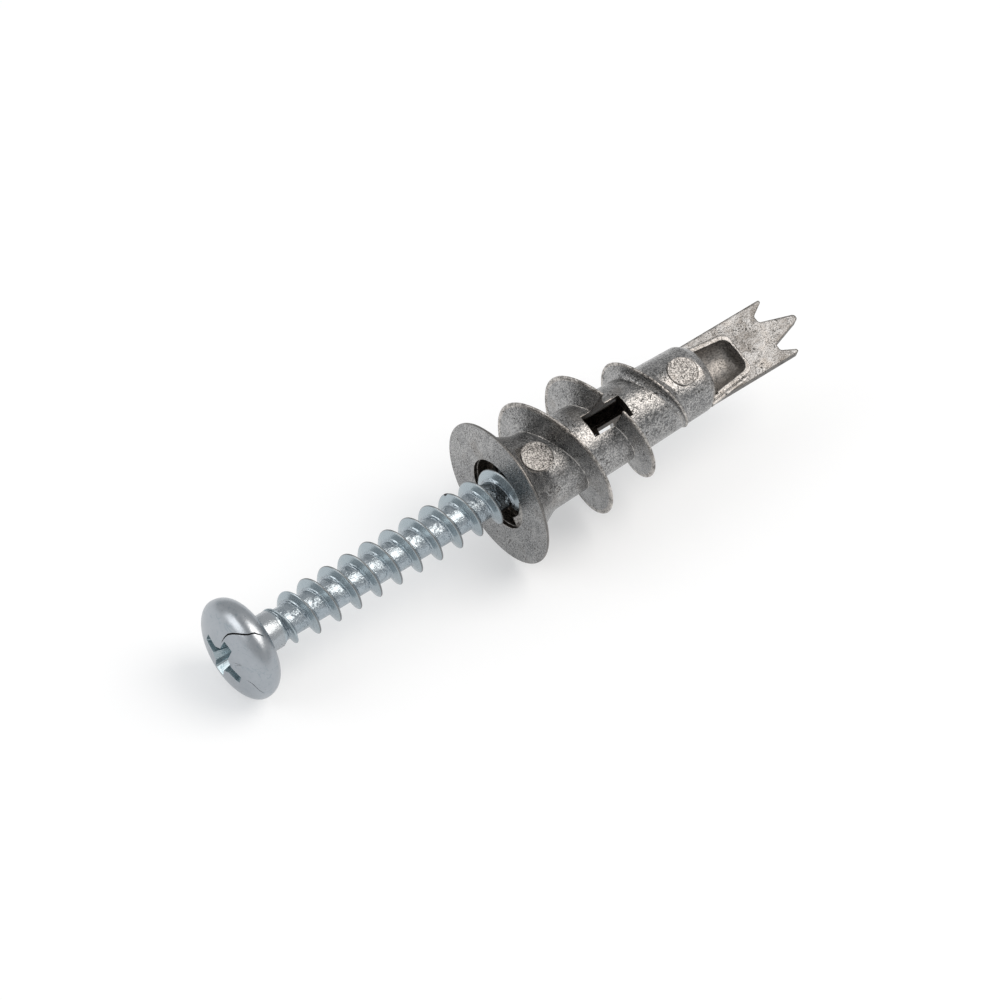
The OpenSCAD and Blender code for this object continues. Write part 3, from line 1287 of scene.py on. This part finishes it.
class Surface(Graph):
    """The node tree of a metal that knows where on its piece a point lies.

    where is the point's place in the pair's own axes, in millimetres, and radius its distance from
    the axis, so that what is made from them stays fixed to the piece.
    """

    def __init__(self, material: bpy.types.Material, pose: Matrix) -> None:
        """Starts the material's nodes.

        Args:
            material: the material.
            pose: from the pair's own axes to the row frame.
        """
        material.use_nodes = True
        super().__init__(material.node_tree)
        back = pose.inverted()
        place = self.node("ShaderNodeTexCoord", output="Object")
        self.where = self.node("ShaderNodeMapping", {"vector_type": "POINT"},
                               {"Vector": place, "Location": tuple(back.translation),
                                "Rotation": tuple(back.to_euler()),
                                "Scale": tuple(back.to_scale())})
        self.radius = self.vector("LENGTH", self.vector("MULTIPLY", self.where, (0, 1, 1)),
                                  output="Value")

    def noise(self, cells: Cells) -> Socket:
        """Adds a noise.

        Args:
            cells: its size and character, and how it is stretched, if it is.

        Returns:
            A value from 0 to 1.
        """
        where = self.where
        if cells.stretch:
            where = self.vector("MULTIPLY", where, cells.stretch)
        return self.node("ShaderNodeTexNoise", {"noise_dimensions": "3D"},
                         {"Vector": where, "Scale": cells.scale, "Detail": cells.detail,
                          "Roughness": cells.roughness, "Distortion": cells.distortion})

    def hairline(self, cells: Cells, width: Range) -> Socket:
        """Returns thin winding lines, from 0 to 1, where a noise crosses its middle."""
        return abs(self.noise(cells).centred()).rise(*width)

    def bevel(self, radius_mm: float) -> Socket:
        """Returns the surface's normal, rounded at its edges."""
        return self.node("ShaderNodeBevel", {"samples": 6}, {"Radius": radius_mm * MM})

    def metal(self, colour: Socket, metallic: Value, rough: Socket, height: Socket,
              depth_mm: float, normal: Socket) -> None:
        """Closes the surface with a metal shader.

        Args:
            colour: its colour.
            metallic: how far it is bare metal.
            rough: its roughness.
            height: its relief.
            depth_mm: depth of a relief of 1.
            normal: the surface's normal before the relief.
        """
        bump = self.node("ShaderNodeBump", inputs={
            "Strength": 1.0, "Distance": depth_mm * MM, "Height": height, "Normal": normal})
        shader = self.node("ShaderNodeBsdfPrincipled", inputs={
            "Base Color": colour, "Metallic": metallic, "Roughness": rough, "Normal": bump})
        self.node("ShaderNodeOutputMaterial", inputs={"Surface": shader})


# ---------------------------------------------------------------- finishes


@dataclass(frozen=True)
class Finish:
    """A metal surface whose pattern is fixed to its piece."""

    name: str

    def material(self, pose: Matrix) -> bpy.types.Material:
        """Builds the material.

        Args:
            pose: from the pair's own axes to the row frame.

        Returns:
            The material, its pattern fixed to the piece.
        """
        made = bpy.data.materials.new(self.name)
        self._surface(Surface(made, pose))
        return made

    def _surface(self, g: Surface) -> None:
        """Adds the nodes that make the surface what it is.

        Args:
            g: the material's nodes.
        """
        raise NotImplementedError


@dataclass(frozen=True)
class CastZinc(Finish):
    """As-cast zinc: a mottled warm grey with dark pits, creases and stains, and painted highlight and
    shade on its edges.

    A strength or share says how strongly a pattern shows, and a range says between which values of
    its noise it comes in. Patches are where a pattern shows at all.
    """

    name: str = "cast_zinc"
    light: Colour = grey(0.45, 0.01)
    dark: Colour = grey(0.14, -0.02)
    stain: Colour = grey(0.16, 0.12)
    stain_share: float = 0.4
    stain_range: Range = (0.54, 0.72)
    roughness: float = 0.23
    unevenness: float = 0.3
    mottle: float = 0.85
    grain: Cells = Cells(7.0, 3, 0.6, 0.3)
    grain_depth: float = 0.032
    grain_range: Range = (0.36, 0.64)
    blotch: float = 1.3
    blotch_cells: Cells = Cells(1.4, 4, 0.6, 0.3)
    lump: float = 1.1
    cloud: float = 0.8
    cloud_cells: Cells = Cells(0.4)
    pit: Colour = grey(0.05, 0.05)
    pits: float = 1.0
    pit_cells: Cells = Cells(5.5, distortion=0.4)
    pit_range: Range = (0.57, 0.62)
    pit_depth: float = 0.4
    pit_roughness: float = 0.2
    pit_patch_cells: Cells = Cells(0.9)
    pit_patches: Range = (0.42, 0.66)
    crease: float = 0.45
    crease_cells: Cells = Cells(1.3, 3, 0.6, 0.6)
    crease_width: Range = (0.012, 0.004)
    crease_patch_cells: Cells = Cells(1.1, 1)
    crease_patches: Range = (0.48, 0.56)
    # Edge colour: painted highlight on the rounded edges in some patches, partly rubbed wear.
    edge: Colour = grey(0.62, 0.06)
    edge_r: float = 0.13
    edge_share: float = 0.8
    edge_turn: Range = (0.98, 0.90)
    edge_patches: Range = (0.40, 0.54)
    # Rim colour: painted shade on the rounded edges in the other patches and on the flange's outer
    # rim.
    rim: Colour = grey(0.14, 0.05)
    rim_r: float = 6.42
    rim_fade: float = 0.05
    rim_shade_share: float = 0.8

    def _surface(self, g: Surface) -> None:
        """Adds the nodes of the mottled metal and its marks.

        Args:
            g: the material's nodes.
        """
        fine = g.noise(self.grain)
        middle = g.noise(self.blotch_cells)
        broad = g.noise(self.cloud_cells)
        pits = g.noise(self.pit_cells).rise(*self.pit_range)
        pits = pits * g.noise(self.pit_patch_cells).rise(*self.pit_patches)
        crease = g.hairline(self.crease_cells, self.crease_width)
        crease = crease * g.noise(self.crease_patch_cells).rise(*self.crease_patches)
        tone = fine.rise(*self.grain_range).centred() * self.mottle + 0.5
        tone = tone + middle.centred() * self.blotch + broad.centred() * self.cloud
        colour = g.mix(tone.clamped(), self.dark, self.light)
        colour = g.mix(broad.rise(*self.stain_range) * self.stain_share, colour, self.stain)
        colour = g.mix(pits * self.pits, colour, self.pit)
        colour = g.mix(crease * self.crease, colour, self.pit)
        bevel = g.bevel(self.edge_r)
        # Painted highlight and shade on the edges, partly wear, and painted shade on the flange's rim.
        colour = self._edges_worn_and_shaded(g, colour, bevel, middle.rise(*self.edge_patches))
        rough = self.roughness + middle.centred() * self.unevenness
        rough = rough + fine.centred() * self.unevenness + pits * self.pit_roughness
        height = fine + middle * self.lump - pits * self.pit_depth
        g.metal(colour, 1.0, rough, height, self.grain_depth, bevel)

    def _edges_worn_and_shaded(self, g: Surface, colour: Socket, bevel: Socket, bright: Socket) -> Socket:
        """Paints the rounded edges light in some patches and dark in others, partly rubbed wear and
        partly painted highlight and shade, and paints shade on the flange's outer rim.

        Args:
            g: the material's nodes.
            colour: the colour without them.
            bevel: the surface's normal, rounded at its edges.
            bright: how far an edge is painted light rather than dark, from 0 to 1.

        Returns:
            The colour with them.
        """
        flat = g.node("ShaderNodeNewGeometry", output="Normal")
        turned = g.vector("DOT_PRODUCT", bevel, flat, output="Value")
        # Edges take painted highlight in the bright patches and painted shade in the rest, partly
        # rubbed wear.
        arris = g.mix(bright, self.rim, self.edge)
        colour = g.mix(turned.rise(*self.edge_turn) * self.edge_share, colour, arris)
        # Painted shade on the flange's outer rim.
        on_shaded_rim = g.radius.rise(self.rim_r, self.rim_r + self.rim_fade)
        return g.mix(on_shaded_rim * self.rim_shade_share, colour, self.rim)


@dataclass(frozen=True)
class ScrewZones:
    """Masks, from 0 to 1, of the parts of the screw that look different."""

    head: Socket
    neck: Socket
    root: Socket
    flank: Socket
    crest: Socket


@dataclass(frozen=True)
class PlatedSteel(Finish):
    """Bright zinc plating over rolled steel: bluish and glossy, with a hammered root.

    A radius, or an end along the axis, is where a part of the screw starts, and a fade is how far
    its look takes to come in.
    """

    name: str = "plated_steel"
    colour: Colour = (0.41, 0.46, 0.50, 1.0)
    shade: Colour = (0.27, 0.32, 0.355, 1.0)
    head_colour: Colour = (0.380, 0.395, 0.42, 1.0)
    head_share: float = 0.65
    head_roughness: float = 0.32
    head_relief: float = 0.03
    head_end: float = -24.9
    head_fade: float = 0.1
    neck_end: float = -22.8
    neck_fade: float = 0.3
    neck_r: float = 1.8
    neck_r_fade: float = 0.1
    neck_dents: float = 0.35
    root_r: float = 1.5
    root_fade: Range = (0.15, -0.02)
    root_grain: float = 1.6
    root_relief: float = 0.18
    flank_colour: Colour = (0.405, 0.47, 0.505, 1.0)
    flank_share: float = 0.75
    flank_sheen: float = 0.22
    flank_roughness: float = 0.04
    # Painted shade: a dark band along the thread's crest.
    crest: Colour = grey(0.17)
    crest_r: float = 2.18
    crest_fade: float = 0.04
    crest_shade_share: float = 0.8
    roughness: float = 0.22
    fine_unevenness: float = 0.16
    streak_unevenness: float = 0.2
    tone: float = 0.62
    grain: Cells = Cells(7.0, 3, 0.6)
    streak: float = 1.3
    streak_cells: Cells = Cells(2.6, 4, 0.6, 0.4, (1.0, 0.45, 0.45))
    cloud: float = 0.8
    cloud_cells: Cells = Cells(0.8)
    speck_cells: Cells = Cells(5.0, distortion=0.4)
    speck_range: Range = (0.62, 0.70)
    speck_on_head: float = 0.5
    speck_on_root: float = 0.8
    hair: float = 0.7
    hair_cells: Cells = Cells(1.1, 2, 0.5, 0.8, (1.0, 0.6, 1.7))
    hair_width: Range = (0.026, 0.010)
    hair_patch_cells: Cells = Cells(1.4, 1)
    hair_patches: Range = (0.50, 0.60)
    chip: Colour = grey(0.03)
    chip_at: tuple[float, float, float] = (-4.13, 2.095, 1.067)
    chip_r: float = 0.31
    chip_fade: float = 0.06
    chip_fray: float = 0.25
    chip_roughness: float = 0.4
    dent_cells: Cells = Cells(2.9, 3, 0.55, 0.5)
    dent_depth: float = 0.13
    dent_least: float = 0.3
    dent_patch_cells: Cells = Cells(0.9, 1)
    dent_patches: Range = (0.40, 0.62)
    smooth: float = 0.02
    edge_r: float = 0.05

    def _surface(self, g: Surface) -> None:
        """Adds the nodes of the plating, its marks and the dents of the root.

        Args:
            g: the material's nodes.
        """
        on = self._zones(g)
        fine, streak = g.noise(self.grain), g.noise(self.streak_cells)
        chip = g.vector("DISTANCE", g.where, self.chip_at, output="Value")
        chip = chip + fine.centred() * self.chip_fray
        chip = chip.rise(self.chip_r, self.chip_r - self.chip_fade)
        colour = self._plating(g, on, fine, streak)
        colour = g.mix(chip, self._marked(g, on, colour), self.chip)
        rough = self.roughness + on.head * (self.head_roughness - self.roughness)
        rough = rough + fine.centred() * self.fine_unevenness
        rough = rough + streak.centred() * self.streak_unevenness + chip * self.chip_roughness
        rolled = g.noise(self.dent_patch_cells).rise(*self.dent_patches)
        dents = g.noise(self.dent_cells) * rolled.between(self.dent_least, 1.0)
        grain = fine * (on.root * self.root_relief + on.head * self.head_relief + self.smooth)
        g.metal(colour, 1 - on.flank * self.flank_sheen, rough + on.flank * self.flank_roughness,
                dents * on.root.between(self.smooth, 1.0) + grain, self.dent_depth,
                g.bevel(self.edge_r))

    def _zones(self, g: Surface) -> ScrewZones:
        """Tells the parts of the screw apart by where they lie.

        Args:
            g: the material's nodes.

        Returns:
            Their masks; the root's takes in some of the neck, which is dented less.
        """
        along = g.node("ShaderNodeSeparateXYZ", inputs={"Vector": g.where}, output="X")
        head = along.rise(self.head_end + self.head_fade, self.head_end - self.head_fade)
        neck = along.rise(self.neck_end, self.neck_end - self.neck_fade)
        neck = neck * g.radius.rise(self.neck_r + self.neck_r_fade, self.neck_r)
        outer, inner = (self.root_r + fade for fade in self.root_fade)
        root = (g.radius.rise(outer, inner) + neck * self.neck_dents).clamped() * (1 - head)
        flank = g.radius.rise(self.root_r, outer) * (1 - head)
        crest = g.radius.rise(self.crest_r, self.crest_r + self.crest_fade) * (1 - head)
        return ScrewZones(head, neck, root, flank, crest)

    def _plating(self, g: Surface, on: ScrewZones, fine: Socket, streak: Socket) -> Socket:
        """Mixes the plating's colour, with painted shade along the thread's crest.

        Args:
            g: the material's nodes.
            on: masks of the screw's parts.
            fine: the finest noise.
            streak: the noise of the streaks that rolling left.

        Returns:
            The colour, without marks.
        """
        cloud = g.noise(self.cloud_cells)
        tone = streak.centred() * self.streak + cloud.centred() * self.cloud
        tone = tone + fine.centred() * (on.root * self.root_grain + on.head) + self.tone
        colour = g.mix(tone.clamped(), self.shade, self.colour)
        colour = g.mix(on.flank * self.flank_share, colour, self.flank_colour)
        # Painted shade along the thread's crest.
        colour = g.mix(on.crest * self.crest_shade_share, colour, self.crest)
        return g.mix((on.head + on.neck).clamped() * self.head_share, colour, self.head_colour)

    def _marked(self, g: Surface, on: ScrewZones, colour: Socket) -> Socket:
        """Adds dull specks, and the hairlines on the head.

        Args:
            g: the material's nodes.
            on: masks of the screw's parts.
            colour: the colour without them.

        Returns:
            The colour with them.
        """
        specks = g.noise(self.speck_cells).rise(*self.speck_range)
        specks = specks * (on.head * self.speck_on_head + on.root * self.speck_on_root)
        colour = g.mix(specks, colour, self.shade)
        hairs = g.hairline(self.hair_cells, self.hair_width)
        hairs = hairs * g.noise(self.hair_patch_cells).rise(*self.hair_patches)
        return g.mix(hairs * on.head * self.hair, colour, self.shade)


CASTING_FINISHES: dict[Skin, Finish] = {
    Skin.OUTER: CastZinc(),
    # The blade's edge colour is dark: painted shade along the blade's edges, partly wear.
    Skin.ROUGH: CastZinc("cast_zinc_blade", grey(0.43, -0.01), grey(0.16, 0.05), grey(0.2, 0.2),
                         roughness=0.40, grain_depth=0.035, mottle=0.6, blotch=2.5, cloud=2.6,
                         crease=0.6, edge=grey(0.14, 0.15), edge_r=0.25, edge_share=0.85),
    # Nearly black: painted shade inside the bore, its flutes and the windows.
    Skin.INNER: CastZinc("cast_zinc_bore_painted_shade", grey(0.13, 0.2), grey(0.02, 0.1), roughness=0.45,
                         edge_share=0.2),
    # Light and dark in patches on the coarse thread's crest and the land at the mouth: partly wear,
    # partly painted highlight.
    Skin.EDGE: CastZinc("cast_zinc_edge_wear_and_highlight", grey(0.62, 0.05), grey(0.14, 0.06), roughness=0.32,
                        grain_depth=0.03, blotch=3.2, crease=0.0, edge_share=0.0),
    Skin.POCKET: CastZinc("cast_zinc_pocket", grey(0.50, 0.05), grey(0.20, 0.03), roughness=0.46,
                          grain_depth=0.02, blotch=1.4, pits=0.3, edge_share=0.0),
    Skin.PAD: CastZinc("cast_zinc_pad", grey(0.66, 0.03), grey(0.15, 0.04), grey(0.3, 0.15),
                       roughness=0.42, grain=Cells(8.0, 3, 0.6, 0.3), grain_depth=0.07, lump=0.2,
                       mottle=1.1, blotch=1.2),
    # Dark: painted shade on the blade's side walls and underside.
    Skin.SIDE: CastZinc("cast_zinc_side_painted_shade", grey(0.20, 0.06), grey(0.10, 0.04), roughness=0.5,
                        edge_share=0.3),
    Skin.LIP: CastZinc("cast_zinc_lip", grey(0.52, 0.02), grey(0.22, 0.05), roughness=0.38,
                       grain_depth=0.03, mottle=0.8, blotch=3.0, crease=0.0, edge_share=0.0),
}

SCREW_FINISHES: dict[Skin, Finish] = {
    Skin.OUTER: PlatedSteel(),
    # Nearly black: painted shade in the folds, crack and ticks cut into the head.
    Skin.ROUGH: CastZinc("fold", grey(0.04), grey(0.02), roughness=0.6, edge_share=0.0),
    # Darker teal plating: painted shade and a painted reflected tint inside the cross recess.
    Skin.INNER: PlatedSteel("plated_recess_painted_shade", (0.50, 0.54, 0.56, 1.0), (0.14, 0.21, 0.24, 1.0),
                            (0.36, 0.43, 0.46, 1.0), head_roughness=0.2),
}


# ---------------------------------------------------------------- studio


@dataclass(frozen=True)
class Viewpoint:
    """Where the camera stands, how it is turned, in degrees, and its lens."""

    position_mm: tuple[float, float, float] = (-252.58, -299.33, 393.74)
    azimuth: float = -39.993
    elevation: float = 44.808
    roll: float = 2.49
    lens_mm: float = 242.55
    sensor_mm: float = 36
    clip_m: tuple[float, float] = (0.01, 10)


@dataclass(frozen=True)
class Lamp:
    """A soft square lamp that faces the object, with angles in degrees and lengths in metres."""

    name: str
    azimuth: float
    elevation: float
    distance: float
    size: float
    level: float
    warm: float = 0.0

    @property
    def direction(self) -> Vector:
        """Where the lamp stands, seen from the object.

        Returns:
            A direction of length 1; azimuth 0 is along x.
        """
        turn, lift = math.radians(self.azimuth), math.radians(self.elevation)
        return Vector((math.cos(turn) * math.cos(lift), math.sin(turn) * math.cos(lift),
                       math.sin(lift)))

    @property
    def power(self) -> float:
        """Watts that make its face look as bright as its level, where 1 is white."""
        return self.level * math.pi * self.size ** 2


@dataclass(frozen=True)
class Studio:
    """Floor, lamps, world and camera, with lengths in metres."""

    target: tuple[float, float, float] = (0, 0, 0.006)
    floor_size: float = 3.0
    world_level: float = 0.61
    paper: Colour = grey(0.55, -0.03)
    glow: float = 0.42
    lamps: tuple[Lamp, ...] = (
        Lamp("key", -39, 55.9, 0.5, 0.38, 3.1, 0.08),
        Lamp("side", 158.2, 28.9, 0.5, 0.34, 1.9, 0.02),
    )
    view: Viewpoint = Viewpoint()

    def build(self) -> None:
        """Sets the stage up."""
        self._floor()
        self._world()
        for lamp in self.lamps:
            self._lamp(lamp)
        self._camera()
        bpy.context.scene.view_settings.view_transform = "Standard"

    def _floor(self) -> None:
        """Lays a sheet of pale paper that looks white but still takes the object's shadow."""
        half = self.floor_size / 2
        mesh = bpy.data.meshes.new("floor")
        mesh.from_pydata([(-half, -half, 0), (half, -half, 0), (half, half, 0), (-half, half, 0)],
                         [], [(0, 1, 2, 3)])
        floor = bpy.data.objects.new("floor", mesh)
        bpy.context.scene.collection.objects.link(floor)
        made = bpy.data.materials.new("floor_paper")
        made.use_nodes = True
        g = Graph(made.node_tree)
        paper = g.node("ShaderNodeBsdfDiffuse", inputs={"Color": self.paper})
        camera, glossy, passing = (g.node("ShaderNodeLightPath", output=f"Is {kind} Ray")
                                   for kind in ("Camera", "Glossy", "Transmission"))
        seen = (camera + glossy + passing).clamped()
        glow = g.node("ShaderNodeEmission", inputs={"Color": grey(1.0),
                                                    "Strength": seen * self.glow})
        both = g.node("ShaderNodeAddShader", inputs={0: paper, 1: glow})
        g.node("ShaderNodeOutputMaterial", inputs={"Surface": both})
        mesh.materials.append(made)

    def _world(self) -> None:
        """Lights the object evenly from all round."""
        world = bpy.data.worlds.new("studio")
        bpy.context.scene.world = world
        world.use_nodes = True
        g = Graph(world.node_tree)
        sky = g.node("ShaderNodeBackground", inputs={"Color": grey(1.0),
                                                     "Strength": self.world_level})
        g.node("ShaderNodeOutputWorld", inputs={"Surface": sky})

    def _lamp(self, lamp: Lamp) -> None:
        """Hangs a lamp.

        Args:
            lamp: where it hangs, and its size and light.
        """
        light = bpy.data.lights.new(lamp.name, "AREA")
        light.size, light.energy = lamp.size, lamp.power
        light.color = grey(1.0, lamp.warm)[:3]
        made = bpy.data.objects.new(lamp.name, light)
        bpy.context.scene.collection.objects.link(made)
        away = lamp.direction
        made.location = Vector(self.target) + away * lamp.distance
        made.rotation_euler = away.to_track_quat("Z", "Y").to_euler()

    def _camera(self) -> None:
        """Stands the camera up and makes it the scene's."""
        view = self.view
        data = bpy.data.cameras.new("camera")
        data.lens, data.sensor_width = view.lens_mm, view.sensor_mm
        data.clip_start, data.clip_end = view.clip_m
        camera = bpy.data.objects.new("camera", data)
        bpy.context.scene.collection.objects.link(camera)
        turn = (Matrix.Rotation(math.radians(view.azimuth), 4, "Z")
                @ Matrix.Rotation(math.radians(90 - view.elevation), 4, "X")
                @ Matrix.Rotation(math.radians(view.roll), 4, "Z"))
        camera.matrix_world = Matrix.Translation(Vector(view.position_mm) * MM) @ turn
        bpy.context.scene.camera = camera


# ---------------------------------------------------------------- scene


def main() -> None:
    """Builds the anchor, the screw and the studio."""
    logging.basicConfig(level=logging.INFO)
    casting, screw = Casting(), PanScrew()
    pose = RestPose.from_frame(casting.blade.length, screw.front).matrix()
    for part in (casting, screw):
        made = part.dress(pose)
        log.info("%s has %d faces", made.name, len(made.data.polygons))
    Studio().build()


if __name__ == "__main__":
    main()
